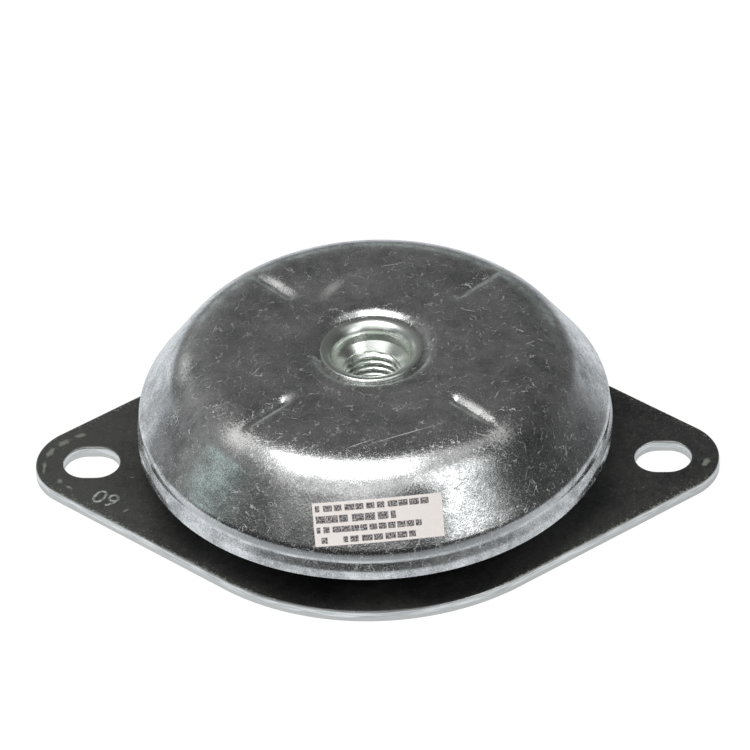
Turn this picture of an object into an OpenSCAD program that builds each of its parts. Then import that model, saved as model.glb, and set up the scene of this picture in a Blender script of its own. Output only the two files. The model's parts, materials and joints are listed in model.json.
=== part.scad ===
// Covered rubber machinery mount, in millimetres.
// The base plate rests on z = 0, its length runs along X, and the thread's axis is the Z axis.

/* [Overall] */
// Height of the cover's flat top above the floor, with no load
mount_h = 50; // [47:1:60]
// How far the mount sinks under its full load
travel = 6; // [4:0.5:8]
// Rise from rest until the rebound washer meets its buffer
rebound_gap = 2; // [1:0.5:4]
// Room left between the bush and the floor under full load
floor_gap = 0.8; // [0.5:0.1:3]

/* [Base plate] */
// Length over both ends
plate_l = 219; // [210:1:240]
// Width across the middle
plate_w = 150; // [140:1:170]
// Radius of each end
plate_end_r = 18.5; // [14:0.5:24]
// Thickness of the steel
plate_t = 4; // [3:0.5:5]
// Distance from the middle of a slot to the end of the plate
slot_edge = 18; // [16:0.5:22]
// Length of a slot, along the plate
slot_l = 18; // [16.5:0.5:22]
// Width of a slot
slot_w = 15; // [11:0.5:16]

/* [Collar pressed up in the plate] */
// Radius where the collar's flat lip starts to turn down
collar_lip_r = 34; // [33.5:0.5:36]
// Radius where the collar's foot runs out into the plate
collar_foot_r = 48; // [46:0.5:50]
// Inside radius of both bends of the collar
collar_bend = 2; // [1:0.5:3]
// Radius of the hole in the lip
lip_hole_r = 26; // [24:0.5:29]

/* [Cover] */
// Diameter of the cover at its widest
cover_d = 150; // [144:1:160]
// Thickness of the steel
cover_t = 3; // [2:0.5:3.5]
// Radius of the flat top
top_r = 49; // [47:0.5:54]
// Outside radius of the shoulder
shoulder_r = 19; // [14:0.5:21]
// Outside radius of the bulge low on the skirt
bulge_r = 4.5; // [4:0.5:6]
// Depth of the neck below the bulge
neck_depth = 0.25; // [0.1:0.05:0.5]
// Outside radius of the neck
neck_r = 1.5; // [1:0.5:2]
// How far the rim stands out past the bulge
rim_out = 0.7; // [0.3:0.1:1]
// Outside radius of the bend that turns down into the rim
rim_bend = 4; // [3.5:0.5:5]
// Height from that bend's middle up to the neck's
neck_rise = 3.9; // [3.9:0.1:5]
// Straight height of the rim below its bend
rim_straight = 2.4; // [1:0.1:4]
// Height of the rim's lower edge above the plate
rim_gap = 13.4; // [10:0.2:16]

/* [Seat of the bush in the cover] */
// Depth of the dished seat below the flat top
dish_depth = 1.7; // [1:0.1:2.5]
// Inside radius of both bends of the dish
dish_bend = 3; // [2:0.5:4]
// Flat seat left round the bush's lip
seat_margin = 0.1; // [0.1:0.1:1]

/* [Grooves pressed in the cover] */
// Number of radial grooves
groove_count = 4; // [2:1:6]
// Radius where a groove's round inner end starts
groove_start_r = 35.5; // [35.5:0.5:40]
// Radius past which the grooves have run out into the shoulder
groove_end_r = 62; // [60:1:64]
// Width of a groove at the flat top
groove_w = 5.6; // [4:0.2:6]
// Depth of a groove
groove_depth = 1.2; // [0.6:0.1:1.6]

/* [Core plate] */
// Thickness of the core plate
core_t = 4; // [3:0.5:5]
// Outer radius of the core plate
core_r = 45; // [43:0.5:47]
// Radius inside which the core plate lies against the cover
core_seat_r = 34; // [31:0.5:34]
// Inside radius of both bends of its step
core_bend = 2; // [1:0.5:2.5]
// Clearance between the core plate and the grooves' undersides
core_gap = 0.4; // [0.2:0.1:1]

/* [Threaded bush] */
// Wall radius of the bore, at the crests of the M20 thread
thread_r = 8.65; // [7:0.05:10]
// Radius of the smooth throat above the thread
throat_r = 11.8; // [11:0.1:12.4]
// Depth below the lip at which the throat runs into the 90 degree countersink
throat_depth = 6.1; // [5.8:0.1:8]
// Radius of the spigot that passes through the cover
spigot_r = 15; // [14.8:0.1:15.4]
// Radius of the lip that is flared over the cover
lip_r = 16.3; // [16:0.1:17]
// Height of the flared lip above its seat
lip_h = 0.9; // [0.7:0.1:1.5]
// Radius of the flange that grips the core plate from below
flange_r = 25; // [24:0.5:27]
// Thickness of that flange
flange_t = 4; // [3:0.5:6]
// Radius of the bush's body
body_r = 17; // [15:0.5:18]
// Radius of the tail that the rebound washer sits on
tail_r = 12; // [11.5:0.5:13]
// Radius of the rivet head turned over under the washer
rivet_r = 14.5; // [14:0.5:18]
// Height of the rivet head
rivet_h = 0.7; // [0.5:0.1:2]
// Clearance between the bush and the holes it passes through
bush_gap = 0.1; // [0.05:0.05:0.3]

/* [Rebound washer] */
// Outer radius of the washer, larger than the lip's hole
washer_r = 32; // [30:0.5:33]
// Thickness of the washer
washer_t = 3; // [2:0.5:5]
// Width of the chamfer round the washer's edges
washer_chamfer = 0.5; // [0.2:0.1:1]

/* [Rubber] */
// Radius of the rubber's foot on the plate
rubber_foot_r = 56; // [54:0.5:57]
// How far the rubber's side is drawn in from a straight line
waist = 3; // [1:0.5:5]
// Step from the core plate's edge to the rubber's edge
rubber_inset = 1; // [0.5:0.5:2]
// Width of the ring of rubber that is bonded to the core plate
bond_w = 9.5; // [7:0.5:9.5]
// Thickness of rubber over the edge of the lip's hole
lip_skin = 3; // [2:0.5:4]
// Thickness of the rebound buffer under the lip
buffer_t = 3.5; // [2:0.5:6]
// Radius of the rebound buffer
buffer_r = 33; // [31:0.5:33]

/* [Label] */
// Length of the paper label
label_l = 40; // [30:1:50]
// Height of the paper label
label_h = 13.5; // [10:0.5:16]
// Thickness of the paper and its glue
label_t = 0.15; // [0.1:0.05:0.3]
// Distance from the top of the straight wall down to the label's middle
label_drop = 7.5; // [5:0.5:9]
// Turn of the label away from the front, about the thread's axis
label_turn = 3; // [-20:1:20]
// Tilt of the label on the wall, right end up
label_tilt = 2.5; // [-5:0.5:5]

/* [Hidden] */
$fn = 96;
bend_step = 7; // degrees of turn for each facet of a bend
slack = 0.05; // straight left between two bends that follow each other
foot_land = 2; // flat plate left between the rubber's foot and the collar's outer end
plate_lap = 1; // width over which the flat plate and the collar's flat share their metal
side_steps = 10; // facets on the rubber's drawn-in side
round_step = 18; // degrees of turn for each facet of the bush's lip and mouth

// Heights of the rebound parts, stacked up from the floor at full load
bush_z0 = floor_gap + travel;
washer_z0 = bush_z0 + rivet_h;
washer_z1 = washer_z0 + washer_t;
buffer_z0 = washer_z1 + rebound_gap;
lip_z0 = buffer_z0 + buffer_t;
lip_z1 = lip_z0 + plate_t;

// Heights under the cover, hung from its flat top
cover_z0 = mount_h - cover_t;
seat_z = mount_h - dish_depth;
core_step = groove_depth + core_gap;
bond_z = cover_z0 - core_t - core_step;
flange_z1 = cover_z0 - core_t;
flange_z0 = flange_z1 - flange_t;

// Bends of the cover, on the middle of its thickness
cover_r = cover_d / 2;
spigot_hole_r = spigot_r + bush_gap;
dish_in = dish_bend + cover_t / 2;
dish_run = step_run(2 * dish_in + slack, 2 * dish_in - dish_depth);
dish_seat_r = lip_r + seat_margin;
dish_r = dish_seat_r + dish_run;
step_r = dish_r - bush_gap;
rim_r = cover_r + rim_out;
rim_z0 = plate_t + rim_gap;
rim_bend_z = rim_z0 + rim_straight;
rim_turn = rim_bend - cover_t / 2;
neck_turn = neck_r + cover_t / 2;
bulge_turn = bulge_r - cover_t / 2;
bulge_x = cover_r - bulge_r;
neck_x = cover_r - neck_depth + neck_r;
neck_z = rim_bend_z + neck_rise;
bulge_z = neck_z + step_run(neck_turn + bulge_turn + slack, neck_x - bulge_x);
shoulder = [top_r, mount_h - shoulder_r, shoulder_r - cover_t / 2];
bulge = [bulge_x, bulge_z, bulge_turn];
cover_path = [
    [spigot_hole_r, seat_z - cover_t / 2, 0],
    [dish_seat_r, seat_z - cover_t / 2 + dish_in, -dish_in],
    [dish_r, mount_h - cover_t / 2 - dish_in, dish_in],
    shoulder,
    bulge,
    [neck_x, neck_z, -neck_turn],
    [rim_r - rim_bend, rim_bend_z, rim_turn],
    [rim_r - cover_t / 2, rim_z0, 0]
];

// Grooves: a round tool laid across the flat top
tool_r = (pow(groove_w / 2, 2) + pow(groove_depth, 2)) / (2 * groove_depth);
tool_z = mount_h - groove_depth + tool_r;
tool_x0 = groove_start_r + groove_w / 2;

// Bends of the collar, on the middle of the plate's thickness
collar_turn = collar_bend + plate_t / 2;
collar_flat_r = rubber_foot_r + foot_land;
collar_path = [
    [lip_hole_r, lip_z1 - plate_t / 2, 0],
    [collar_lip_r, lip_z1 - plate_t / 2 - collar_turn, collar_turn],
    [collar_foot_r, plate_t / 2 + collar_turn, -collar_turn],
    [collar_flat_r, plate_t / 2, 0]
];

// Bends of the core plate, on the middle of its thickness
core_turn = core_bend + core_t / 2;
core_run = step_run(2 * core_turn + slack, 2 * core_turn - core_step);
core_path = [
    [step_r + bush_gap, cover_z0 - core_t / 2, 0],
    [core_seat_r - core_run, cover_z0 - core_t / 2 - core_turn, core_turn],
    [core_seat_r, bond_z + core_t / 2 + core_turn, -core_turn],
    [core_r, bond_z + core_t / 2, 0]
];

// Outline of the plate: straight edges touch a middle circle and two end circles
plate_end_x = plate_l / 2 - plate_end_r;
slot_x = plate_l / 2 - slot_edge;
edge_angle = acos((plate_w / 2 - plate_end_r) / plate_end_x);

// Third side of a right triangle, from its longest side and another
function step_run(long, other) = sqrt(pow(long, 2) - pow(other, 2));

// Direction square to the straight that touches two circles [x, z, signed radius]
function square_to(a, b) =
    let (dx = b[0] - a[0], dz = b[1] - a[1])
    atan2(dz, dx) + acos(max(-1, min(1, (a[2] - b[2]) / norm([dx, dz]))));

// One face of a pressed sheet, whose section is a belt that runs round circles
function sheet_face(path, off) = [
    for (i = [0:len(path) - 1])
        let (
            c = path[i],
            last = len(path) - 1,
            from = i == 0 ? square_to(path[0], path[1]) : square_to(path[i - 1], c),
            to = i == last ? from : square_to(c, path[i + 1]),
            steps = c[2] == 0 ? 0 : max(1, ceil(abs(to - from) / bend_step))
        )
        for (k = [0:steps])
            let (a = steps == 0 ? from : from + (to - from) * k / steps)
            [c[0] + (c[2] + off) * cos(a), c[1] + (c[2] + off) * sin(a)]
];

// Points in reverse order
function turned(points) = [for (i = [len(points) - 1:-1:0]) points[i]];

// Curve between two points, drawn in sideways by the sag at its middle
function drawn_in(p, q, sag) =
    let (d = q - p, side = [-d[1], d[0]] / norm(d))
    [for (i = [0:side_steps]) let (t = i / side_steps) p + d * t + side * sag * 4 * t * (1 - t)];

// Round from one direction up to another, without its last point
function arc(middle, r, from, to) = [
    for (a = [from:round_step:to - round_step])
        middle + r * [cos(a), sin(a)]
];

// Section of a pressed sheet
module sheet(path, t) {
    polygon(concat(sheet_face(path, t / 2), turned(sheet_face(path, -t / 2))));
}

// One round-ended slot, at the origin
module slot() {
    straight = slot_l - slot_w;
    for (s = [-1, 1])
        translate([s * straight / 2, 0])
            circle(d = slot_w);
    square([straight, slot_w], center = true);
}

// Outline of the base plate
module plate_outline() {
    c = cos(edge_angle);
    s = sin(edge_angle);
    circle(d = plate_w);
    for (side = [-1, 1])
        translate([side * plate_end_x, 0])
            circle(r = plate_end_r);
    polygon([
        for (side = [1, -1])
            for (p = [[plate_w / 2 * c, -plate_w / 2 * s], [plate_end_x + plate_end_r * c, -plate_end_r * s],
                      [plate_end_x + plate_end_r * c, plate_end_r * s], [plate_w / 2 * c, plate_w / 2 * s]])
                side * p
    ]);
}

// Base plate with its slots, and the collar pressed up in its middle
module base_plate() {
    color([0.30, 0.30, 0.30]) {
        linear_extrude(plate_t)
            difference() {
                plate_outline();
                circle(r = collar_flat_r - plate_lap);
                for (side = [-1, 1])
                    translate([side * slot_x, 0])
                        slot();
            }
        rotate_extrude()
            sheet(collar_path, plate_t);
    }
}

// Rubber bonded over the collar and up to the core plate, wrapped round the collar's lip
module rubber() {
    collar_top = sheet_face(collar_path, plate_t / 2);
    bore_r = lip_hole_r - lip_skin;
    edge_r = core_r - rubber_inset;
    color([0.10, 0.10, 0.10])
        rotate_extrude()
            polygon(concat(
                [[buffer_r, lip_z0], [lip_hole_r, lip_z0]],
                [for (i = [0:len(collar_top) - 2]) collar_top[i]],
                drawn_in([rubber_foot_r, plate_t], [edge_r, bond_z], waist),
                [[edge_r - bond_w, bond_z], [bore_r, lip_z1], [bore_r, buffer_z0], [buffer_r, buffer_z0]]
            ));
}

// Steel plate on top of the rubber, stepped down to clear the grooves' undersides
module core_plate() {
    color([0.45, 0.45, 0.44])
        rotate_extrude()
            sheet(core_path, core_t);
}

// Turned bush, its wide mouth flared over the cover and its tail riveted over the washer
module threaded_bush() {
    lip_z = seat_z + lip_h;
    bead_r = lip_h / 2;
    bead_x = lip_r - bead_r;
    mouth_r = bead_x - throat_r;
    mouth_z = lip_z - mouth_r;
    csk_z = lip_z - throat_depth;
    color([0.70, 0.70, 0.66])
        rotate_extrude()
            polygon(concat(
                [[thread_r, bush_z0], [rivet_r, bush_z0], [rivet_r, washer_z0], [tail_r, washer_z0],
                 [tail_r, washer_z1], [body_r, washer_z1], [body_r, flange_z0], [flange_r, flange_z0],
                 [flange_r, flange_z1], [step_r, flange_z1], [step_r, seat_z - cover_t],
                 [spigot_r, seat_z - cover_t], [spigot_r, seat_z]],
                arc([bead_x, seat_z + bead_r], bead_r, -90, 90),
                arc([bead_x, mouth_z], mouth_r, 90, 180),
                [[throat_r, mouth_z], [throat_r, csk_z], [thread_r, csk_z - (throat_r - thread_r)]]
            ));
}

// Washer that catches the lip when the mount is pulled upwards
module rebound_washer() {
    c = washer_chamfer;
    color([0.55, 0.55, 0.52])
        rotate_extrude()
            polygon([
                [tail_r + bush_gap, washer_z0], [washer_r - c, washer_z0], [washer_r, washer_z0 + c],
                [washer_r, washer_z1 - c], [washer_r - c, washer_z1], [tail_r + bush_gap, washer_z1]
            ]);
}

// Round bars that lie in the grooves, made thicker by grow
module groove_bars(grow) {
    for (i = [0:groove_count - 1])
        rotate([0, 0, (i + 0.5) * 360 / groove_count])
            translate([tool_x0, 0, tool_z]) {
                sphere(r = tool_r + grow);
                rotate([0, 90, 0])
                    cylinder(r = tool_r + grow, h = groove_end_r - tool_x0);
            }
}

// Pressed cover with its dished seat, its grooves and its necked rim
module dome_cover() {
    ridge_r0 = groove_start_r - groove_w;
    ridge_z0 = cover_z0 - cover_t;
    ridge_z1 = cover_z0 + cover_t / 2;
    color([0.62, 0.64, 0.66])
        difference() {
            union() {
                rotate_extrude()
                    sheet(cover_path, cover_t);
                intersection() {
                    groove_bars(cover_t);
                    rotate_extrude()
                        polygon([
                            [ridge_r0, ridge_z0], [groove_end_r, ridge_z0],
                            [top_r + cover_t, ridge_z1], [ridge_r0, ridge_z1]
                        ]);
                }
            }
            groove_bars(0);
        }
}

// Paper label on the front of the cover's wall
module label() {
    tilt = square_to(shoulder, bulge);
    foot = shoulder[2] + cover_t / 2;
    wall = [shoulder[0] + foot * cos(tilt), shoulder[1] + foot * sin(tilt)];
    mid = wall + label_drop * [sin(tilt), -cos(tilt)];
    cut_depth = label_l / 2; // deeper than the wall falls away behind the label's ends
    color([0.93, 0.89, 0.88])
        rotate([0, 0, label_turn - 90])
            intersection() {
                rotate_extrude()
                    polygon(concat(
                        sheet_face(cover_path, cover_t / 2),
                        turned(sheet_face(cover_path, cover_t / 2 + label_t))
                    ));
                translate([mid[0], 0, mid[1]])
                    rotate([0, -tilt, 0])
                        rotate([label_tilt, 0, 0])
                            cube([cut_depth, label_l, label_h], center = true);
            }
}

base_plate();
rubber();
core_plate();
threaded_bush();
rebound_washer();
dome_cover();
label();
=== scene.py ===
"""Covered rubber machinery mount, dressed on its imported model. All lengths are in metres."""
import json
import math

import bmesh
import bpy
from mathutils import Matrix, Vector


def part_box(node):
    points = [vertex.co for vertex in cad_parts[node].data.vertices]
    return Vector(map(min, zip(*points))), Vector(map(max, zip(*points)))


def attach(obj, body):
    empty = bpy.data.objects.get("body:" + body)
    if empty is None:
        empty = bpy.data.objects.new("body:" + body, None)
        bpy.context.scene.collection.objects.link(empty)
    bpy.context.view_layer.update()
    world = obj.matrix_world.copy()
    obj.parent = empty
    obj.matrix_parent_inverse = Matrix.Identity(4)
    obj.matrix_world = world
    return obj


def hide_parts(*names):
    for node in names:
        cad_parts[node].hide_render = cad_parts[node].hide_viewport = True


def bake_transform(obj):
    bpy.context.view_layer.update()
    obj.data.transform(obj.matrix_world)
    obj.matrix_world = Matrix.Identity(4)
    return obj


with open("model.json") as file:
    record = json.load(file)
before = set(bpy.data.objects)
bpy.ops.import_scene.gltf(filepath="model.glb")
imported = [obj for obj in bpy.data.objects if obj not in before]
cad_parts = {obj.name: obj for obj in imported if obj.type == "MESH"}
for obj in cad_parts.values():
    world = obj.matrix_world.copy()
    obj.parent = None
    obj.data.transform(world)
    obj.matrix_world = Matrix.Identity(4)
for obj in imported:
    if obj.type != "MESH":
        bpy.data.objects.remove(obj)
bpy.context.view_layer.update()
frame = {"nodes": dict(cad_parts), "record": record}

# Camera: it stands two metres away behind a long lens, a little to the right of the label,
# looks down on the cover and leans a few degrees to one side.
MM = 0.001
SENSOR = 36
PICTURE_PX = 750
focal_px = 6520.6
camera_height = math.radians(38.468)
camera_turn = math.radians(3.352)
camera_lean = math.radians(-2.717)
camera_distance = 2064.2 * MM
aim = Vector((0.70, 0.09, 38.28)) * MM

eye = bpy.data.cameras.new("eye")
eye.sensor_width = SENSOR
eye.lens = focal_px / PICTURE_PX * SENSOR
camera = bpy.data.objects.new("camera", eye)
bpy.context.collection.objects.link(camera)
facing = (
    Matrix.Rotation(camera_turn, 4, "Z")
    @ Matrix.Rotation(math.pi / 2 - camera_height, 4, "X")
    @ Matrix.Rotation(camera_lean, 4, "Z")
)
camera.matrix_world = Matrix.Translation(aim) @ facing @ Matrix.Translation((0, 0, camera_distance))
bpy.context.scene.camera = camera
bpy.context.scene.view_settings.view_transform = "Standard"

# Base plate: 4 mm steel, blanked to a diamond with round ends and two slots, its middle pressed
# up into a conical collar. A thin dark film lies on its faces, and the blanked edges are bare.
plate_t = 4 * MM
plate_end_r = 18.5 * MM
plate_half_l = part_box("base_plate")[1][0]
plate_half_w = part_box("base_plate")[1][1]
collar_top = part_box("base_plate")[1][2]
lip_hole_r = 26 * MM
lip_r = 34 * MM
foot_r = 48 * MM
flat_r = 58 * MM
collar_turn = 4 * MM
ring_corners = 192
rollover = 0.75 * MM
burr = 0.15 * MM
near = 0.01 * MM
sharp_angle = math.radians(60)
flat_normal = 0.999
slots = next(m for m in frame["record"]["mounts"] if m["name"] == "base_slots")["dims"]
slot_r = slots["hole_r_mm"] * MM
slot_x = slots["spacing_x_mm"] / 2 * MM
slot_reach = slots["slot_length_mm"] / 2 * MM - slot_r


def square_to(a, b):
    """Direction square to the straight that touches two circles (x, y, signed radius)."""
    across, up = b[0] - a[0], b[1] - a[1]
    return math.atan2(up, across) + math.acos((a[2] - b[2]) / math.hypot(across, up))


def belt(circles, closed, step, longest=math.inf):
    """Points of a belt round circles (x, y, signed radius), on its left side as it runs along."""
    count = len(circles)
    corners = []
    for i, (x, y, radius) in enumerate(circles):
        first, last = i == 0 and not closed, i == count - 1 and not closed
        start = square_to(circles[i], circles[i + 1]) if first else square_to(circles[i - 1], circles[i])
        end = start if last else square_to(circles[i], circles[(i + 1) % count])
        turn = -((start - end) % math.tau) if radius > 0 else (end - start) % math.tau
        steps = math.ceil(abs(turn) / step) if radius else 0
        for k in range(steps + 1):
            angle = start + turn * k / max(steps, 1)
            corners.append((x + radius * math.cos(angle), y + radius * math.sin(angle)))
    points = []
    for here, there in zip(corners, corners[1:] + corners[:1] * closed):
        parts = max(1, math.ceil(math.dist(here, there) / longest))
        points += [tuple(a + (b - a) * k / parts for a, b in zip(here, there)) for k in range(parts)]
    return points if closed else points + corners[-1:]


def pick_edges(piece, test):
    """Opens a piece in edit mode and selects the edges that pass a test."""
    bpy.ops.object.mode_set(mode="EDIT")
    bpy.ops.mesh.select_mode(type="EDGE")
    bpy.ops.mesh.select_all(action="DESELECT")
    shape = bmesh.from_edit_mesh(piece.data)
    for edge in shape.edges:
        edge.select_set(test(edge))
    shape.select_flush_mode()
    bmesh.update_edit_mesh(piece.data)


def wire(name, places, closed=True):
    """A bent wire: a circle with one corner for each place, and cut open where it isn't closed."""
    bpy.ops.object.select_all(action="DESELECT")
    bpy.ops.mesh.primitive_circle_add(vertices=len(places))
    piece = bpy.context.object
    piece.name = piece.data.name = name
    for corner, place in zip(piece.data.vertices, places):
        corner.co = place
    if not closed:
        pick_edges(piece, lambda edge: {v.index for v in edge.verts} == {0, len(places) - 1})
        bpy.ops.mesh.delete(type="EDGE")
        bpy.ops.object.mode_set(mode="OBJECT")
    return piece


def modify(piece, kind, **settings):
    """Gives a piece a modifier with its settings, and applies it."""
    bpy.context.view_layer.objects.active = piece
    modifier = piece.modifiers.new(kind.lower(), kind)
    for name, value in settings.items():
        setattr(modifier, name, value)
    bpy.ops.object.modifier_apply(modifier=modifier.name)


def sharp_at(z, beyond):
    """A test for sharp edges at a height, farther than a distance from the middle."""
    def test(edge):
        middle = (edge.verts[0].co + edge.verts[1].co) / 2
        level = all(abs(v.co.z - z) < near for v in edge.verts)
        return level and middle.xy.length > beyond and edge.calc_face_angle(0) > sharp_angle
    return test


end_x = plate_half_l - plate_end_r
plate_mid = plate_t / 2
diamond = [(0, 0, plate_half_w), (end_x, 0, plate_end_r), (0, 0, plate_half_w), (-end_x, 0, plate_end_r)]
outline = belt(diamond, closed=True, step=math.radians(2))
slot = belt([(-slot_reach, 0, slot_r), (slot_reach, 0, slot_r)], closed=True, step=math.radians(6))
ring = [math.tau * k / ring_corners for k in range(ring_corners)]
plate = wire("plate", [(x, y, plate_mid) for x, y in outline])
holes = [wire("slot", [(x + side * slot_x, y, plate_mid) for x, y in slot]) for side in (-1, 1)]
holes.append(wire("ring", [
    (flat_r * math.cos(angle), flat_r * math.sin(angle), plate_mid) for angle in ring
]))
for piece in holes + [plate]:
    piece.select_set(True)
bpy.context.view_layer.objects.active = plate
bpy.ops.object.join()
bpy.ops.object.mode_set(mode="EDIT")
bpy.ops.mesh.select_all(action="SELECT")
bpy.ops.mesh.fill(use_beauty=True)
bpy.ops.mesh.dissolve_limited(angle_limit=math.radians(1))
pick_edges(plate, lambda edge: all(abs(v.co.xy.length - flat_r) < near for v in edge.verts))
lip_mid = collar_top - plate_mid
collar = belt([
    (lip_hole_r, lip_mid, 0), (lip_r, lip_mid - collar_turn, collar_turn),
    (foot_r, plate_mid + collar_turn, -collar_turn), (flat_r, plate_mid, 0),
], closed=False, step=math.radians(7))
for (wide, low), (narrow, high) in zip(collar[::-1], collar[-2::-1]):
    bpy.ops.mesh.extrude_region_move()
    bpy.ops.transform.resize(value=(narrow / wide, narrow / wide, 1), center_override=(0, 0, 0))
    bpy.ops.transform.translate(value=(0, 0, high - low))
bpy.ops.mesh.select_all(action="SELECT")
bpy.ops.mesh.normals_make_consistent(inside=False)
bpy.ops.object.mode_set(mode="OBJECT")
modify(plate, "SOLIDIFY", thickness=plate_t, offset=0, use_even_offset=True)
pick_edges(plate, sharp_at(plate_t, flat_r))
bpy.ops.mesh.bevel(offset=rollover, segments=4, affect="EDGES")
pick_edges(plate, sharp_at(0, flat_r))
bpy.ops.mesh.bevel(offset=burr, segments=2, affect="EDGES")
bpy.ops.object.mode_set(mode="OBJECT")
bpy.ops.object.shade_smooth_by_angle(angle=math.radians(40))
for face in plate.data.polygons:
    face.use_smooth = abs(face.normal.z) < flat_normal


def linear(code):
    """Linear colour of an sRGB hex code."""
    parts = [int(code[i:i + 2], 16) / 255 for i in (0, 2, 4)]
    return [p / 12.92 if p <= 0.04045 else ((p + 0.055) / 1.055) ** 2.4 for p in parts] + [1]


def new_material(name):
    """An empty material, with the tree that its nodes go into."""
    material = bpy.data.materials.new(name)
    material.use_nodes = True
    material.node_tree.nodes.clear()
    return material, material.node_tree


def add(tree, kind, settings):
    """Adds a node. Each setting is a property of it, or an input's value or the output linked to it."""
    node = tree.nodes.new("ShaderNode" + kind)
    for key, value in settings.items():
        if isinstance(key, str) and hasattr(node, key):
            setattr(node, key, value)
        elif isinstance(value, bpy.types.NodeSocket):
            tree.links.new(value, node.inputs[key])
        else:
            node.inputs[key].default_value = value
    return node


# Numbers of a mix's sockets, which have the same names for plain numbers and for colours
FACTOR, NUMBER_A, NUMBER_B, COLOR_A, COLOR_B = 0, 2, 3, 6, 7
COLOR_OUT = 2


def marks(tree, coords, patches):
    """Mask of worn patches (x, y, z, half length, half width, turn in degrees), all in mm."""
    total = None
    for x, y, z, length, width, turn in patches:
        place = add(tree, "Mapping", {
            "vector_type": "TEXTURE", "Vector": coords, "Location": (x * MM, y * MM, z * MM),
            "Rotation": (0, 0, math.radians(turn)), "Scale": (length * MM, width * MM, length * MM),
        })
        patch = add(tree, "TexGradient", {
            "gradient_type": "SPHERICAL", "Vector": place.outputs[0],
        }).outputs[1]
        if total:
            patch = add(tree, "Math", {"operation": "MAXIMUM", 0: total, 1: patch}).outputs[0]
        total = patch
    return total


# Dark film on the plate: thin black oxide over rolled steel, dull with faint clouds and hazier at its
# left end. It is rubbed through to olive-grey steel where the plate was handled, and speckled off
# along the top edge. The speckle is drawn as coarse as it needs to show.
film, tree = new_material("oxide_film_on_steel")
coords = add(tree, "TexCoord", {}).outputs["Object"]
place = add(tree, "SeparateXYZ", {0: coords})
lengthways, height = place.outputs["X"], place.outputs["Z"]
cloud = add(tree, "TexNoise", {"Vector": coords, "Scale": 1 / (40 * MM), "Detail": 3}).outputs[0]
speckle = add(tree, "TexNoise", {"Vector": coords, "Scale": 1 / (0.7 * MM), "Detail": 3}).outputs[0]
blot = add(tree, "TexNoise", {
    "Vector": coords, "Scale": 1 / (2.5 * MM), "Detail": 5, "Roughness": 0.75,
}).outputs[0]
rubbed = marks(tree, coords, [
    (-96, 13.5, 4, 3.2, 1.6, 20), (-101, 10, 4, 4, 2.2, 35), (-105, 5, 4, 5, 1.8, 65),
    (-106.5, -2, 4, 6, 1.2, 90), (-101, -9.5, 4, 2.6, 1.5, 120), (-98, -12.5, 4, 3, 1.3, 150),
    (-78, -8, 4, 1.6, 1, 10), (-79, -24.5, 4, 2, 0.8, 40), (91, 26, 4, 14, 0.8, -30),
    (96, 22, 4, 8, 1, -38), (105, -3.5, 4, 3, 2.2, 80), (60, -50, 4, 4, 1, 30),
])
ragged = add(tree, "Math", {"operation": "MULTIPLY_ADD", 0: rubbed, 1: 0.6, 2: blot}).outputs[0]
worn_patch = add(tree, "MapRange", {"Value": ragged, "From Min": 0.72, "From Max": 0.95}).outputs[0]
edge_near = add(tree, "MapRange", {
    "Value": height, "From Min": plate_t - rollover, "From Max": plate_t - 0.02 * MM,
    "To Min": 0.75, "To Max": 0.3,
}).outputs[0]
quadrant = add(tree, "VectorMath", {"operation": "ABSOLUTE", 0: coords}).outputs[0]
edge_lean = (plate_half_w - plate_end_r) / end_x
outward = add(tree, "VectorMath", {
    "operation": "DOT_PRODUCT", 0: quadrant, 1: (edge_lean, math.sqrt(1 - edge_lean ** 2), 0),
}).outputs["Value"]
edge_zone = add(tree, "MapRange", {
    "Value": outward, "From Min": plate_half_w - 5 * MM, "From Max": plate_half_w,
    "To Min": 0, "To Max": 0.18,
}).outputs[0]
fringe = add(tree, "Math", {"operation": "ADD", 0: edge_near, 1: edge_zone}).outputs[0]
edge_worn = add(tree, "Math", {"operation": "SUBTRACT", 0: fringe, 1: speckle}).outputs[0]
edge_spots = add(tree, "MapRange", {"Value": edge_worn, "From Min": 0, "From Max": 0.1}).outputs[0]
dust = add(tree, "MapRange", {
    "Value": speckle, "From Min": 0.6, "From Max": 0.78, "To Max": 0.55,
}).outputs[0]
spots = add(tree, "Math", {"operation": "MAXIMUM", 0: edge_spots, 1: dust}).outputs[0]
worn = add(tree, "Math", {"operation": "MAXIMUM", 0: worn_patch, 1: spots}).outputs[0]
# The film is lighter towards the plate's left end.
handled = add(tree, "MapRange", {
    "Value": lengthways, "From Min": -90 * MM, "From Max": -20 * MM, "To Min": 0.18, "To Max": 0,
}).outputs[0]
mottled = add(tree, "Math", {"operation": "MULTIPLY_ADD", 0: blot, 1: 0.8, 2: cloud}).outputs[0]
clouded = add(tree, "Math", {"operation": "ADD", 0: mottled, 1: handled}).outputs[0]
hazy = add(tree, "MapRange", {"Value": clouded, "From Min": 0.7, "From Max": 1.15}).outputs[0]
dark = add(tree, "Mix", {
    "data_type": "RGBA", FACTOR: hazy, COLOR_A: linear("2a2b2b"), COLOR_B: linear("51524f"),
}).outputs[COLOR_OUT]
color = add(tree, "Mix", {
    "data_type": "RGBA", FACTOR: worn, COLOR_A: dark, COLOR_B: linear("8c8e86"),
}).outputs[COLOR_OUT]
sheen = add(tree, "MapRange", {
    "Value": cloud, "From Min": 0.3, "From Max": 0.7, "To Min": 0.3, "To Max": 0.42,
}).outputs[0]
bump = add(tree, "Bump", {"Height": speckle, "Strength": 0.5, "Distance": 0.03 * MM}).outputs[0]
surface = add(tree, "BsdfPrincipled", {
    "Base Color": color, "Metallic": 0.35, "Roughness": sheen, "Normal": bump,
})
add(tree, "OutputMaterial", {"Surface": surface.outputs[0]})

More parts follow.
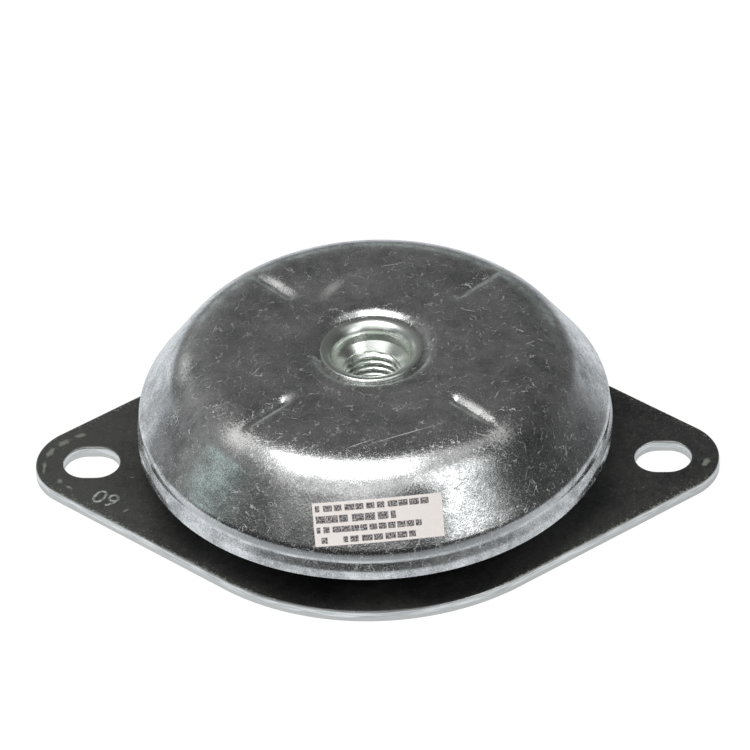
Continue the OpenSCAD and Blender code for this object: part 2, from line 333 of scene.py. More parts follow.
# Blanked edge of the plate: bare sheared steel, smooth where the punch burnished it and grainy
# below, where it broke. It shows as a light silver band round a dark face.
sheared, tree = new_material("sheared_steel")
coords = add(tree, "TexCoord", {}).outputs["Object"]
height = add(tree, "SeparateXYZ", {0: coords}).outputs["Z"]
stretched = add(tree, "Mapping", {"Vector": coords, "Scale": (0.08, 0.08, 1)}).outputs[0]
streaks = add(tree, "TexNoise", {
    "Vector": stretched, "Scale": 1 / (0.7 * MM), "Detail": 3,
}).outputs[0]
broken = add(tree, "MapRange", {
    "Value": height, "From Min": plate_t * 0.35, "From Max": plate_t * 0.45, "To Min": 1, "To Max": 0,
}).outputs[0]
streaky = add(tree, "MapRange", {"Value": streaks, "From Min": 0.35, "From Max": 0.65}).outputs[0]
burnished = add(tree, "Mix", {
    "data_type": "RGBA", FACTOR: streaky, COLOR_A: linear("bcbdbb"), COLOR_B: linear("f0f0ee"),
}).outputs[COLOR_OUT]
tone = add(tree, "Mix", {
    "data_type": "RGBA", FACTOR: broken, COLOR_A: burnished, COLOR_B: linear("cfcfcb"),
}).outputs[COLOR_OUT]
shine = add(tree, "MapRange", {"Value": broken, "To Min": 0.34, "To Max": 0.5}).outputs[0]
bump = add(tree, "Bump", {"Height": streaks, "Strength": 0.6, "Distance": 0.05 * MM}).outputs[0]
surface = add(tree, "BsdfPrincipled", {
    "Base Color": tone, "Metallic": 0.9, "Roughness": shine, "Normal": bump,
})
add(tree, "OutputMaterial", {"Surface": surface.outputs[0]})

edge_normal = 0.6
plate.data.materials.append(film)
plate.data.materials.append(sheared)
for face in plate.data.polygons:
    face.material_index = int(abs(face.normal.z) < edge_normal and face.center.xy.length > flat_r)
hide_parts("base_plate")
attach(plate, "base")

# Hardness number: two plain digits in thin light-grey paint, rolled onto the plate in front of the
# left slot, so they read from the plate's back edge.
number_h = 9 * MM
paint_t = 0.02 * MM
number_middle = Vector((-85.6 * MM, -18.2 * MM, plate_t + paint_t))
number_turn = math.radians(152)

digits = bpy.data.curves.new("digits", "FONT")
digits.body = "60"
digits.size = number_h
digits.extrude = paint_t
digits.align_x = "CENTER"
digits.align_y = "CENTER"
text = bpy.data.objects.new("hardness_number", digits)
bpy.context.collection.objects.link(text)
bpy.ops.object.select_all(action="DESELECT")
text.select_set(True)
bpy.context.view_layer.objects.active = text
bpy.ops.object.convert(target="MESH")
number = bpy.context.object
number.name = number.data.name = "hardness_number"
number.data.transform(Matrix.Translation(number_middle) @ Matrix.Rotation(number_turn, 4, "Z"))
paint, tree = new_material("grey_marking_paint")
coords = add(tree, "TexCoord", {}).outputs["Object"]
patchy = add(tree, "TexNoise", {"Vector": coords, "Scale": 1 / (1.2 * MM), "Detail": 3}).outputs[0]
cover_up = add(tree, "MapRange", {"Value": patchy, "From Min": 0.35, "From Max": 0.6}).outputs[0]
tone = add(tree, "Mix", {
    "data_type": "RGBA", FACTOR: cover_up, COLOR_A: linear("6d6f6a"), COLOR_B: linear("a9aba4"),
}).outputs[COLOR_OUT]
bump = add(tree, "Bump", {"Height": patchy, "Strength": 0.4, "Distance": 0.02 * MM}).outputs[0]
surface = add(tree, "BsdfPrincipled", {"Base Color": tone, "Roughness": 0.6, "Normal": bump})
add(tree, "OutputMaterial", {"Surface": surface.outputs[0]})
number.data.materials.clear()
number.data.materials.append(paint)
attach(number, "base")

# Rubber: one moulding of black natural rubber, bonded round the collar and up to the core plate.
# It keeps the solid's form, with its corners shaded round as a mould leaves them.
merge_gap = 0.002 * MM
rubber = bpy.data.objects.new("moulded_rubber", frame["nodes"]["rubber"].data.copy())
rubber.data.name = "moulded_rubber"
bpy.context.collection.objects.link(rubber)
bpy.ops.object.select_all(action="DESELECT")
rubber.select_set(True)
bpy.context.view_layer.objects.active = rubber
bpy.ops.object.mode_set(mode="EDIT")
bpy.ops.mesh.select_all(action="SELECT")
bpy.ops.mesh.remove_doubles(threshold=merge_gap)
bpy.ops.mesh.normals_make_consistent(inside=False)
bpy.ops.object.mode_set(mode="OBJECT")
bpy.ops.object.shade_smooth_by_angle(angle=math.radians(35))

moulded, tree = new_material("moulded_natural_rubber")
coords = add(tree, "TexCoord", {}).outputs["Object"]
bloom = add(tree, "TexNoise", {"Vector": coords, "Scale": 1 / (12 * MM), "Detail": 4}).outputs[0]
skin = add(tree, "TexNoise", {"Vector": coords, "Scale": 1 / (0.5 * MM), "Detail": 2}).outputs[0]
tone = add(tree, "Mix", {
    "data_type": "RGBA", FACTOR: bloom, COLOR_A: linear("161616"), COLOR_B: linear("262624"),
}).outputs[COLOR_OUT]
dull = add(tree, "MapRange", {
    "Value": bloom, "From Min": 0.3, "From Max": 0.7, "To Min": 0.55, "To Max": 0.75,
}).outputs[0]
bump = add(tree, "Bump", {"Height": skin, "Strength": 0.5, "Distance": 0.04 * MM}).outputs[0]
surface = add(tree, "BsdfPrincipled", {"Base Color": tone, "Roughness": dull, "Normal": bump})
add(tree, "OutputMaterial", {"Surface": surface.outputs[0]})
rubber.data.materials.clear()
rubber.data.materials.append(moulded)
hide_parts("rubber")
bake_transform(rubber)

# Core plate and rebound washer: pressed and turned steel inside the mount, which keep their solids.
# The core plate is plain pickled steel, and the washer is zinc plated like the bush.
def steel(name, light, shade, roughness):
    """Plain steel with clouds and turning rings, which are drawn as coarse as they need to show."""
    material, tree = new_material(name)
    coords = add(tree, "TexCoord", {}).outputs["Object"]
    cloud = add(tree, "TexNoise", {"Vector": coords, "Scale": 1 / (9 * MM), "Detail": 3}).outputs[0]
    rings = add(tree, "TexWave", {
        "wave_type": "RINGS", "rings_direction": "Z", "Vector": coords, "Scale": 1 / (14 * MM),
        "Distortion": 0.4,
    }).outputs[1]
    tone = add(tree, "Mix", {
        "data_type": "RGBA", FACTOR: cloud, COLOR_A: linear(light), COLOR_B: linear(shade),
    }).outputs[COLOR_OUT]
    rough = add(tree, "MapRange", {
        "Value": cloud, "From Min": 0.3, "From Max": 0.7, "To Min": roughness, "To Max": roughness + 0.12,
    }).outputs[0]
    bump = add(tree, "Bump", {"Height": rings, "Strength": 0.25, "Distance": 0.01 * MM}).outputs[0]
    surface = add(tree, "BsdfPrincipled", {
        "Base Color": tone, "Metallic": 1, "Roughness": rough, "Normal": bump,
    })
    add(tree, "OutputMaterial", {"Surface": surface.outputs[0]})
    return material


pickled = steel("pickled_steel", "b3b0aa", "8f8c86", 0.4)
washer_zinc = steel("zinc_plated_washer", "c9cabd", "aeb0a4", 0.25)
frame["nodes"]["core_plate"].material_slots[0].material = pickled
frame["nodes"]["rebound_washer"].material_slots[0].material = washer_zinc

# Threaded bush: one turned steel piece with an M20 x 2.5 thread under a 90 degree countersink and a
# smooth throat that opens like a bell. Its thin rim is flared over the cover, and it is zinc plated.
pitch = 2.5 * MM
thread_major_r = 10 * MM
thread_r = 8.65 * MM
crest = pitch / 4
root = pitch / 8
thread_lead = 0.65 * MM
bush_low, bush_high = (corner[2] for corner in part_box("threaded_bush"))
washer_low, washer_high = (corner[2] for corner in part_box("rebound_washer"))
core_t, flange_t, cover_t = 4 * MM, 4 * MM, 3 * MM
flange_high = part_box("core_plate")[1][2] - core_t
flange_low = flange_high - flange_t
rivet_r, tail_r, body_r, flange_r, step_r = 14.5 * MM, 12 * MM, 17 * MM, 25 * MM, 21.65 * MM
spigot_r, throat_r, bead_r, bead_x = 15 * MM, 11.8 * MM, 0.45 * MM, 15.85 * MM
seat_z = bush_high - 2 * bead_r
mouth_r = bead_x - throat_r
countersink_z = bush_high - 6.1 * MM
bore_top = countersink_z - (throat_r - thread_r)
cone_rows = 16
row_h = 0.2 * MM
bush_steps = 128


def lathe(name, section, steps, closed=True):
    """A turned piece: its section (x, z), spun round the Z axis and closed."""
    piece = wire(name, [(x, 0, z) for x, z in section], closed)
    bpy.ops.object.mode_set(mode="EDIT")
    bpy.ops.mesh.select_all(action="SELECT")
    bpy.ops.mesh.spin(steps=steps, angle=math.tau, center=(0, 0, 0), axis=(0, 0, 1))
    bpy.ops.mesh.select_all(action="SELECT")
    bpy.ops.mesh.remove_doubles(threshold=merge_gap)
    bpy.ops.mesh.normals_make_consistent(inside=False)
    bpy.ops.object.mode_set(mode="OBJECT")
    return piece


def thread_wall(turns):
    """Radius of the thread at a place counted in pitches: flat crest, flank, flat root, flank."""
    away = abs((turns % 1) - 0.5) * pitch
    flank = (away - root / 2) / ((pitch - crest - root) / 2)
    return thread_major_r - (thread_major_r - thread_r) * min(1, max(0, flank))


bead = [
    (bead_x + bead_r * math.cos(angle), seat_z + bead_r + bead_r * math.sin(angle))
    for angle in (math.radians(degrees) for degrees in range(-90, 91, 15))
]
mouth = [
    (bead_x + mouth_r * math.cos(angle), bush_high - mouth_r + mouth_r * math.sin(angle))
    for angle in (math.radians(7.5 * k) for k in range(13, 25))
]
cone_step = (throat_r - thread_r) / cone_rows
cone = [(throat_r - cone_step * k, countersink_z - cone_step * k) for k in range(cone_rows + 1)]
bore_rows = math.ceil((bore_top - bush_low) / row_h)
bore = [(thread_r, bore_top + (bush_low - bore_top) * k / bore_rows) for k in range(1, bore_rows)]
bush = lathe("turned_bush", [
    (thread_r, bush_low), (rivet_r, bush_low), (rivet_r, washer_low), (tail_r, washer_low),
    (tail_r, washer_high), (body_r, washer_high), (body_r, flange_low), (flange_r, flange_low),
    (flange_r, flange_high), (step_r, flange_high), (step_r, seat_z - cover_t),
    (spigot_r, seat_z - cover_t), (spigot_r, seat_z), *bead, *mouth, *cone, *bore,
], bush_steps)
for corner in bush.data.vertices:
    reach = corner.co.xy.length
    inside = thread_r - merge_gap < reach < thread_major_r
    if inside and bush_low + row_h < corner.co.z < countersink_z:
        turns = (corner.co.z - thread_lead) / pitch - math.atan2(corner.co.y, corner.co.x) / math.tau
        corner.co.xy *= max(reach, thread_wall(turns)) / reach
bpy.ops.object.shade_smooth_by_angle(angle=math.radians(35))
bush.data.materials.append(steel("zinc_plated_bush", "f2f5f0", "cfd5cf", 0.2))
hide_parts("threaded_bush")
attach(bush, "top")

# Cover: 3 mm steel drawn into a cup with a dished seat for the bush, four grooves pressed from above
# that stand out as ridges below, and a slight neck between the bulge low on its skirt and its rim.
cover_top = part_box("dome_cover")[1][2]
rim_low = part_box("dome_cover")[0][2]
rim_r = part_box("dome_cover")[1][0]
mid_top = cover_top - cover_t / 2
seat_mid = seat_z - cover_t / 2
hole_r, seat_end_r, dish_r, dish_turn = 15.1 * MM, 16.4 * MM, 21.75 * MM, 4.5 * MM
top_r, shoulder_turn = 49 * MM, 17.5 * MM
bulge_x, bulge_turn = 70.5 * MM, 3 * MM
rim_bend, rim_bend_z = 4 * MM, rim_low + 2.4 * MM
rim_edge = 0.35 * MM
neck_x, neck_z, neck_turn = rim_r + 0.55 * MM, rim_bend_z + 3.9 * MM, 3 * MM
neck_gap = 0.05 * MM
bulge_z = neck_z + math.sqrt((neck_turn + bulge_turn + neck_gap) ** 2 - (neck_x - bulge_x) ** 2)
cover_steps = 360
groove_count = 4
groove_apart = math.tau / groove_count
crowding = 0.6
groove_w, groove_depth, groove_start_r = 5.6 * MM, 1.2 * MM, 35.5 * MM
groove_nose, groove_slope = 1.2 * MM, 0.65
groove_edge = 0.6 * MM
tool_x = groove_start_r + groove_w / 2


def pressed(z, ahead, aside):
    """Height of the sheet's middle after the groove's blunt tool came down on it, edges eased."""
    if ahead < 0:
        return z
    across = math.hypot(aside, min(0, ahead - tool_x), groove_nose) - groove_nose
    tool = mid_top - groove_depth + groove_slope * across
    ease = max(groove_edge - abs(z - tool), 0) / groove_edge
    return min(z, tool) - ease ** 2 * groove_edge / 4


cover_section = belt([
    (hole_r, seat_mid, 0), (seat_end_r, seat_mid + dish_turn, -dish_turn),
    (dish_r, mid_top - dish_turn, dish_turn), (top_r, mid_top - shoulder_turn, shoulder_turn),
    (bulge_x, bulge_z, bulge_turn), (neck_x, neck_z, -neck_turn),
    (rim_r - rim_bend, rim_bend_z, rim_bend - cover_t / 2), (rim_r - cover_t / 2, rim_low, 0),
], closed=False, step=math.radians(3), longest=0.9 * MM)
cover = lathe("pressed_cover", cover_section, cover_steps, closed=False)
for corner in cover.data.vertices:
    # The columns of corners are crowded towards the grooves, which then get a smooth bottom
    around = math.atan2(corner.co.y, corner.co.x)
    around -= crowding / groove_count * math.sin(groove_count * around - math.pi)
    reach = corner.co.xy.length
    corner.co.xy = (reach * math.cos(around), reach * math.sin(around))
    off = around % groove_apart - groove_apart / 2
    if groove_start_r - groove_w < reach < top_r + shoulder_turn:
        corner.co.z = pressed(corner.co.z, reach * math.cos(off), reach * math.sin(off))
modify(cover, "SOLIDIFY", thickness=cover_t, offset=0, use_even_offset=True, use_quality_normals=True)
pick_edges(
    cover, lambda edge: edge.calc_face_angle(0) > sharp_angle and edge.verts[0].co.xy.length > bulge_x
)
bpy.ops.mesh.bevel(offset=rim_edge, segments=3, affect="EDGES")
bpy.ops.object.mode_set(mode="OBJECT")
bpy.ops.object.shade_smooth_by_angle(angle=math.radians(35))

# Zinc on the cover: bright plating over pressed sheet, a clear mirror broken up by the sheet's grain.
# It is scuffed at the grooves' ends and scratched on top by handling, and painted shade darkens the bulge
# in front.
# The grain and the flecks are drawn as coarse as they need to show.
zinc, tree = new_material("bright_zinc_on_pressed_steel")
coords = add(tree, "TexCoord", {}).outputs["Object"]
cloud = add(tree, "TexNoise", {
    "Vector": coords, "Scale": 1 / (14 * MM), "Detail": 5, "Roughness": 0.65,
}).outputs[0]
blotch = add(tree, "TexNoise", {
    "Vector": coords, "Scale": 1 / (2.5 * MM), "Detail": 4, "Roughness": 0.7,
}).outputs[0]
grain = add(tree, "TexNoise", {
    "Vector": coords, "Scale": 1 / (0.8 * MM), "Detail": 3, "Roughness": 0.6,
}).outputs[0]
fleck = add(tree, "TexNoise", {"Vector": coords, "Scale": 1 / (0.4 * MM), "Detail": 2}).outputs[0]
contour = add(tree, "TexNoise", {
    "Vector": coords, "Scale": 1 / (6 * MM), "Detail": 3, "Roughness": 0.6,
}).outputs[0]
groove_end_r = 58
groove_end = groove_end_r / math.sqrt(2)
scuffs = marks(tree, coords, [
    (-groove_end, -groove_end, 46, 12, 8, -45), (groove_end, -groove_end, 46, 9, 6, 45),
    (-groove_end, groove_end, 46, 9, 6, 45), (groove_end, groove_end, 46, 7, 5, -45),
    (-13.5, 30, 50, 11, 4, 60), (33.3, -31.1, 49.5, 15, 3, -45), (-31.1, 33.3, 49.5, 14, 3, -45),
    (33.2, 31.2, 49.5, 13, 2.2, 45), (-30.7, -33.7, 49.8, 20, 1.5, 45), (-25, -25, 49.6, 5, 4, 45),
])
scratches = marks(tree, coords, [
    (11, -44.4, 50, 21, 0.32, 24), (-2, -48.6, 50, 9, 0.3, 27), (47, 7.1, 50, 3, 0.3, -35),
    (50, 1, 50, 3, 0.3, 30), (53, 3, 50, 2.5, 0.25, -20), (-36, -12, 50, 4, 0.22, 60),
    (30, 18, 50, 5, 0.22, -20), (-50, 10, 49, 5, 0.22, 75), (5, 42, 50, 6, 0.22, 12),
    (-28, 40, 49, 4, 0.22, -50), (40, -25, 50, 4, 0.22, 70), (-6, -30, 50, 4, 0.22, 5),
])
mottled = add(tree, "Math", {"operation": "MULTIPLY_ADD", 0: blotch, 1: 0.6, 2: cloud}).outputs[0]
clouded = add(tree, "Math", {"operation": "MULTIPLY_ADD", 0: fleck, 1: 0.9, 2: mottled}).outputs[0]
dirt = add(tree, "MapRange", {"Value": clouded, "From Min": 1, "From Max": 1.5}).outputs[0]
place = add(tree, "SeparateXYZ", {0: coords})
over_bulge = add(tree, "Math", {"operation": "SUBTRACT", 0: place.outputs["Z"], 1: bulge_z}).outputs[0]
off_bulge = add(tree, "Math", {"operation": "ABSOLUTE", 0: over_bulge}).outputs[0]
# Painted shade: the band round the bulge is darkened in front, which dims its reflection there.
band = add(tree, "MapRange", {
    "Value": off_bulge, "From Min": 0.7 * MM, "From Max": 2 * MM, "To Min": 1, "To Max": 0,
}).outputs[0]
in_front = add(tree, "MapRange", {
    "Value": place.outputs["Y"], "From Min": -66 * MM, "From Max": -30 * MM, "To Min": 0.9, "To Max": 0,
}).outputs[0]
grime = add(tree, "Math", {"operation": "MULTIPLY", 0: band, 1: in_front}).outputs[0]
# The random dirt and the painted shade on the bulge darken the plating together.
dirt = add(tree, "Math", {"operation": "MAXIMUM", 0: dirt, 1: grime}).outputs[0]
bright_speck = add(tree, "MapRange", {"Value": fleck, "From Min": 0.57, "From Max": 0.82}).outputs[0]
broken = add(tree, "Math", {"operation": "MULTIPLY_ADD", 0: scuffs, 1: 0.42, 2: fleck}).outputs[0]
scuffed = add(tree, "MapRange", {"Value": broken, "From Min": 0.62, "From Max": 1}).outputs[0]
worn_line = add(tree, "Math", {"operation": "MULTIPLY_ADD", 0: scratches, 1: 0.9, 2: grain}).outputs[0]
cut = add(tree, "MapRange", {"Value": worn_line, "From Min": 0.8, "From Max": 1.1}).outputs[0]
nicks = add(tree, "Math", {"operation": "MAXIMUM", 0: scuffed, 1: cut}).outputs[0]
specks = add(tree, "Math", {"operation": "MAXIMUM", 0: nicks, 1: bright_speck}).outputs[0]
on_line = add(tree, "Math", {"operation": "COMPARE", 0: contour, 1: 0.5, 2: 0.009}).outputs[0]
patchy = add(tree, "MapRange", {
    "Value": blotch, "From Min": 0.45, "From Max": 0.58, "To Max": 0.8,
}).outputs[0]
hairs = add(tree, "Math", {"operation": "MULTIPLY", 0: on_line, 1: patchy}).outputs[0]
wear = add(tree, "Math", {"operation": "MAXIMUM", 0: specks, 1: hairs}).outputs[0]
plating = add(tree, "Mix", {
    "data_type": "RGBA", FACTOR: dirt, COLOR_A: linear("f0f0f0"), COLOR_B: linear("8c8e8e"),
}).outputs[COLOR_OUT]
tone = add(tree, "Mix", {
    "data_type": "RGBA", FACTOR: wear, COLOR_A: plating, COLOR_B: linear("eeeeec"),
}).outputs[COLOR_OUT]
clear = add(tree, "MapRange", {"Value": dirt, "To Min": 0.15, "To Max": 0.27}).outputs[0]
rough = add(tree, "Mix", {
    "data_type": "FLOAT", FACTOR: wear, NUMBER_A: clear, NUMBER_B: 0.62,
}).outputs[0]
peel = add(tree, "Bump", {"Height": grain, "Strength": 1, "Distance": 0.032 * MM}).outputs[0]
wave = add(tree, "Bump", {
    "Height": blotch, "Strength": 1, "Distance": 0.04 * MM, "Normal": peel,
}).outputs[0]
dents = add(tree, "Bump", {
    "Height": wear, "Strength": 0.6, "Distance": 0.03 * MM, "Normal": wave,
}).outputs[0]
surface = add(tree, "BsdfPrincipled", {
    "Base Color": tone, "Metallic": 1, "Roughness": rough, "Normal": dents,
})
add(tree, "OutputMaterial", {"Surface": surface.outputs[0]})
cover.data.materials.append(zinc)
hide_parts("dome_cover")
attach(cover, "top")

# Label: thin coated paper glued round the front of the cover's wall, a few degrees off level and
# printed with plain rows of grey marks.
label_l, label_h, label_t = 40 * MM, 13.5 * MM, 0.15 * MM
label_drop = 7.5 * MM
label_turn = math.radians(3 - 90)
label_tilt = math.radians(2.5)
shoulder = (top_r, mid_top - shoulder_turn, shoulder_turn)
slope = square_to(shoulder, (bulge_x, bulge_z, bulge_turn))
out = Vector((math.cos(slope), 0, math.sin(slope)))
down = Vector((math.sin(slope), 0, -math.cos(slope)))
wall = Vector((shoulder[0], 0, shoulder[1])) + out * (shoulder_turn + cover_t / 2)
label_columns, label_rows = 80, 27
bending_rounds = 6

bpy.ops.object.select_all(action="DESELECT")
bpy.ops.mesh.primitive_grid_add(x_subdivisions=label_columns, y_subdivisions=label_rows, size=1)
label = bpy.context.object
label.name = label.data.name = "paper_label"
swing = Matrix.Rotation(label_turn, 3, "Z")
for corner in label.data.vertices:
    along, up = corner.co.x * label_l, corner.co.y * label_h
    across = along * math.cos(label_tilt) - up * math.sin(label_tilt)
    rise = along * math.sin(label_tilt) + up * math.cos(label_tilt)
    place = wall + down * (label_drop - rise) + Vector((0, across, 0))
    for _ in range(bending_rounds):
        gap = Vector((place.xy.length - wall.x, 0, place.z - wall.z)).dot(out)
        place -= out * gap
    corner.co = swing @ place
modify(label, "SOLIDIFY", thickness=label_t, offset=1, use_even_offset=True)
bpy.ops.object.shade_smooth_by_angle(angle=math.radians(35))

# The rows of marks, as shares of the label's height and length: middle, half height, start and end,
# then the number of marks to a full length, and the place in the noise that sets their widths.
rows = (
    (0.86, 0.07, 0.02, 0.90, 12, 300), (0.61, 0.085, 0.02, 0.64, 10, 800),
    (0.37, 0.07, 0.02, 0.855, 14, 1400), (0.13, 0.07, 0.22, 0.78, 11, 2100),
    (0.13, 0.07, 0.05, 0.1, 20, 3000),
)
narrowest = 0.65
paper, tree = new_material("coated_label_paper")
coords = add(tree, "TexCoord", {}).outputs["Object"]
uv = add(tree, "UVMap", {}).outputs[0]
split = add(tree, "SeparateXYZ", {0: uv})
along, up = split.outputs["X"], split.outputs["Y"]
fibre = add(tree, "TexNoise", {"Vector": coords, "Scale": 1 / (0.8 * MM)}).outputs[0]
stretched = add(tree, "Mapping", {"Vector": uv, "Scale": (95, 22, 1)}).outputs[0]
worn_ink = add(tree, "TexNoise", {"Vector": stretched, "Scale": 1, "Detail": 1}).outputs[0]
density = add(tree, "MapRange", {
    "Value": worn_ink, "From Min": 0.35, "From Max": 0.6, "To Min": 0.45,
}).outputs[0]
printed = None
for middle, half, start, end, count, seed in rows:
    cell = add(tree, "Math", {"operation": "MULTIPLY_ADD", 0: along, 1: count, 2: seed}).outputs[0]
    place = add(tree, "Math", {"operation": "FLOOR", 0: cell}).outputs[0]
    within = add(tree, "Math", {"operation": "FRACT", 0: cell}).outputs[0]
    chance = add(tree, "TexWhiteNoise", {"noise_dimensions": "1D", "W": place}).outputs[0]
    width = add(tree, "Math", {
        "operation": "MULTIPLY_ADD", 0: chance, 1: 1 - narrowest, 2: narrowest,
    }).outputs[0]
    mark = add(tree, "Math", {"operation": "LESS_THAN", 0: within, 1: width}).outputs[0]
    level = add(tree, "Math", {"operation": "COMPARE", 0: up, 1: middle, 2: half}).outputs[0]
    reach = add(tree, "Math", {
        "operation": "COMPARE", 0: along, 1: (start + end) / 2, 2: (end - start) / 2,
    }).outputs[0]
    in_row = add(tree, "Math", {"operation": "MULTIPLY", 0: level, 1: reach}).outputs[0]
    line = add(tree, "Math", {"operation": "MULTIPLY", 0: in_row, 1: mark}).outputs[0]
    if printed:
        line = add(tree, "Math", {"operation": "MAXIMUM", 0: printed, 1: line}).outputs[0]
    printed = line
inked = add(tree, "Math", {"operation": "MULTIPLY", 0: printed, 1: density}).outputs[0]
sheet_tone = add(tree, "Mix", {
    "data_type": "RGBA", FACTOR: fibre, COLOR_A: linear("f4eeea"), COLOR_B: linear("ebe2df"),
}).outputs[COLOR_OUT]
ink = add(tree, "Mix", {
    "data_type": "RGBA", FACTOR: inked, COLOR_A: sheet_tone, COLOR_B: linear("302e32"),
}).outputs[COLOR_OUT]
bump = add(tree, "Bump", {"Height": fibre, "Strength": 0.2, "Distance": 0.02 * MM}).outputs[0]
surface = add(tree, "BsdfPrincipled", {"Base Color": ink, "Roughness": 0.45, "Normal": bump})
add(tree, "OutputMaterial", {"Surface": surface.outputs[0]})
label.data.materials.append(paper)
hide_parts("label")
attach(label, "top")

# Floor: a white sheet that the mount stands on. It is plain white in the picture. In reflections it shows
# a painted pool of light round the mount, slightly blue, with painted shade on its front part. A part of
# it takes light, so a faint shadow stays.
floor_r = 4
floor_corners = 64
floor_z = -0.02 * MM
pool_x, pool_y = -0.1, 0.03
pool_r, pool_end_r = 0.08, 0.55

bpy.ops.object.select_all(action="DESELECT")
bpy.ops.mesh.primitive_circle_add(
    vertices=floor_corners, radius=floor_r, fill_type="NGON", location=(0, 0, floor_z)
)
floor = bpy.context.object
floor.name = "floor"
sheet, tree = new_material("white_floor")
seen = add(tree, "LightPath", {})
straight, glossy = seen.outputs["Is Camera Ray"], seen.outputs["Is Glossy Ray"]
direct = add(tree, "Math", {"operation": "MAXIMUM", 0: straight, 1: glossy}).outputs[0]
shown = add(tree, "Math", {
    "operation": "MAXIMUM", 0: direct, 1: seen.outputs["Is Transmission Ray"],
}).outputs[0]
coords = add(tree, "TexCoord", {}).outputs["Object"]
# Painted light: in reflections the floor glows brightest in a pool round the mount.
from_pool = add(tree, "Mapping", {
    "Vector": coords, "Location": (-pool_x, -pool_y, 0), "Scale": (1, 1, 0),
}).outputs[0]
away = add(tree, "VectorMath", {"operation": "LENGTH", 0: from_pool}).outputs["Value"]
round_pool = add(tree, "MapRange", {
    "interpolation_type": "SMOOTHSTEP", "Value": away, "From Min": pool_r, "From Max": pool_end_r,
    "To Min": 0.97, "To Max": 0.15,
}).outputs[0]
# Painted shade: in reflections the floor's front part glows less.
depth = add(tree, "SeparateXYZ", {0: coords}).outputs["Y"]
front = add(tree, "MapRange", {
    "Value": depth, "From Min": -0.17, "From Max": -0.1, "To Min": 0.3,
}).outputs[0]
pool = add(tree, "Math", {"operation": "MULTIPLY", 0: round_pool, 1: front}).outputs[0]
cast = add(tree, "Mix", {
    "data_type": "RGBA", FACTOR: glossy, COLOR_A: (1, 1, 1, 1), COLOR_B: (0.9, 0.95, 1, 1),
}).outputs[COLOR_OUT]
strength = add(tree, "Mix", {
    "data_type": "FLOAT", FACTOR: glossy, NUMBER_A: 1.08, NUMBER_B: pool,
}).outputs[0]
share = add(tree, "Math", {"operation": "MULTIPLY", 0: shown, 1: 0.85}).outputs[0]
lit = add(tree, "BsdfDiffuse", {"Color": linear("f4f4f4")})
plain = add(tree, "Emission", {"Color": cast, "Strength": strength})
mixed = add(tree, "MixShader", {0: share, 1: lit.outputs[0], 2: plain.outputs[0]})
add(tree, "OutputMaterial", {"Surface": mixed.outputs[0]})
floor.data.materials.append(sheet)

# Studio: a softbox with a dim halo hangs overhead to the left, a soft lamp stands at the front right and
# a wide panel in front. A window and a pale panel light the left side and a low card the rear. The
# flag, a dark card in front, shows only in reflections. The room is dim on the left and at the rear.
flag_l, flag_h = 0.48, 0.114
flag_turn = math.radians(-12)
flag_middle = Vector((-0.14, -0.175, flag_h / 2))


def facing_mount(distance, turn, height):
    """Place of a lamp that faces the cover, turned from the front to the right and raised, in degrees."""
    turn, height = math.radians(turn), math.radians(height)
    aside = Matrix.Rotation(turn, 4, "Z") @ Matrix.Rotation(math.pi / 2 - height, 4, "X")
    return Matrix.Translation((0, 0, cover_top)) @ aside @ Matrix.Translation((0, 0, distance))


def lamp(name, place, size, radiance, color=(1, 1, 1)):
    """An area lamp, whose radiance stays the same whatever its size."""
    light = bpy.data.lights.new(name, "AREA")
    light.shape = "RECTANGLE"
    light.size, light.size_y = size
    light.energy = radiance * math.pi * size[0] * size[1]
    light.color = color
    piece = bpy.data.objects.new(name, light)
    bpy.context.collection.objects.link(piece)
    piece.matrix_world = place


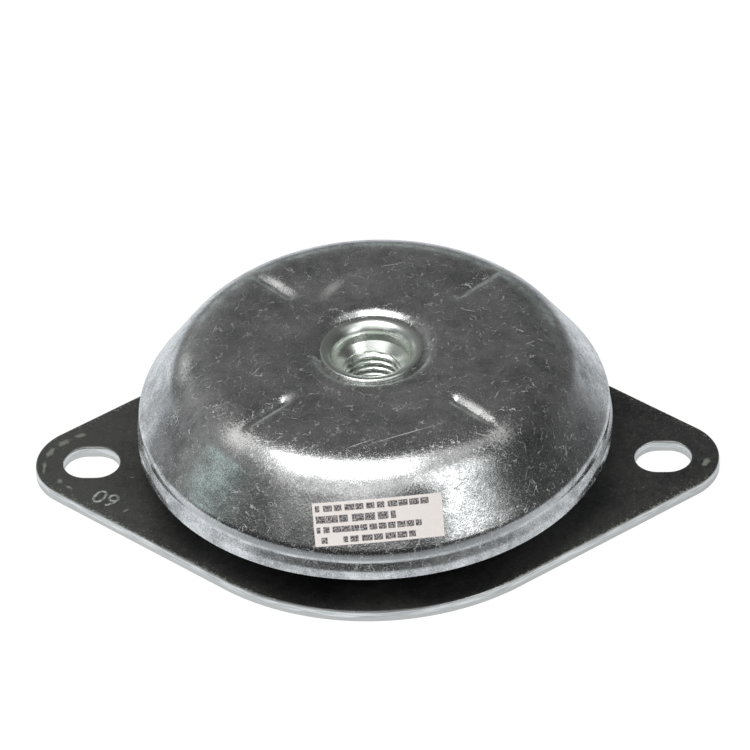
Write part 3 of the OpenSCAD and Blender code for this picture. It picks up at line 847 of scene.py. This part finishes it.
lamp("softbox", Matrix.Translation((-0.2, -0.215, 1.05)), (0.72, 0.57), 5)
lamp("halo", Matrix.Translation((-0.19, -0.2, 1.06)), (1.62, 0.74), 0.58)
lamp("glow", facing_mount(1, 48, 39), (0.46, 0.62), 2, (0.97, 1, 1))
lamp("front_panel", facing_mount(1.3, -18, 44), (1.35, 0.8), 0.8)
lamp("rear_card", facing_mount(1.5, 180, 9), (1.6, 0.3), 0.24, (0.8, 1, 0.94))
lamp("window", facing_mount(1.2, -80, 15), (0.45, 0.28), 0.36, (0.7, 1, 0.93))
lamp("pale_panel", facing_mount(1.2, -134, 16), (0.3, 0.3), 0.55, (0.95, 1, 0.98))

bpy.ops.object.select_all(action="DESELECT")
bpy.ops.mesh.primitive_plane_add(size=1)
flag = bpy.context.object
flag.name = "flag"
flag.data.transform(
    Matrix.Translation(flag_middle) @ Matrix.Rotation(flag_turn, 4, "Z")
    @ Matrix.Rotation(math.pi / 2, 4, "X") @ Matrix.Diagonal((flag_l, flag_h, 1, 1))
)
flag.visible_camera = flag.visible_diffuse = flag.visible_shadow = flag.visible_transmission = False
dark_card, tree = new_material("dark_card")
surface = add(tree, "Emission", {"Color": (0.03, 0.03, 0.03, 1)})
add(tree, "OutputMaterial", {"Surface": surface.outputs[0]})
flag.data.materials.append(dark_card)

world = bpy.data.worlds.new("studio")
world.use_nodes = True
tree = world.node_tree
tree.nodes.clear()
ways = add(tree, "TexCoord", {}).outputs["Generated"]
way = add(tree, "SeparateXYZ", {0: ways})
side = add(tree, "MapRange", {
    "Value": way.outputs["X"], "From Min": -0.9, "From Max": 0, "To Min": 0.24, "To Max": 0.06,
}).outputs[0]
rear = add(tree, "MapRange", {"Value": way.outputs["Y"], "To Min": 0, "To Max": 0.095}).outputs[0]
level = add(tree, "Math", {"operation": "ADD", 0: side, 1: rear}).outputs[0]
room = add(tree, "CombineColor", {0: level, 1: level, 2: level}).outputs[0]
seen = add(tree, "LightPath", {}).outputs["Is Camera Ray"]
air = add(tree, "Mix", {
    "data_type": "RGBA", FACTOR: seen, COLOR_A: room, COLOR_B: linear("ffffff"),
}).outputs[COLOR_OUT]
glow = add(tree, "Background", {"Color": air})
add(tree, "OutputWorld", {"Surface": glow.outputs[0]})
bpy.context.scene.world = world
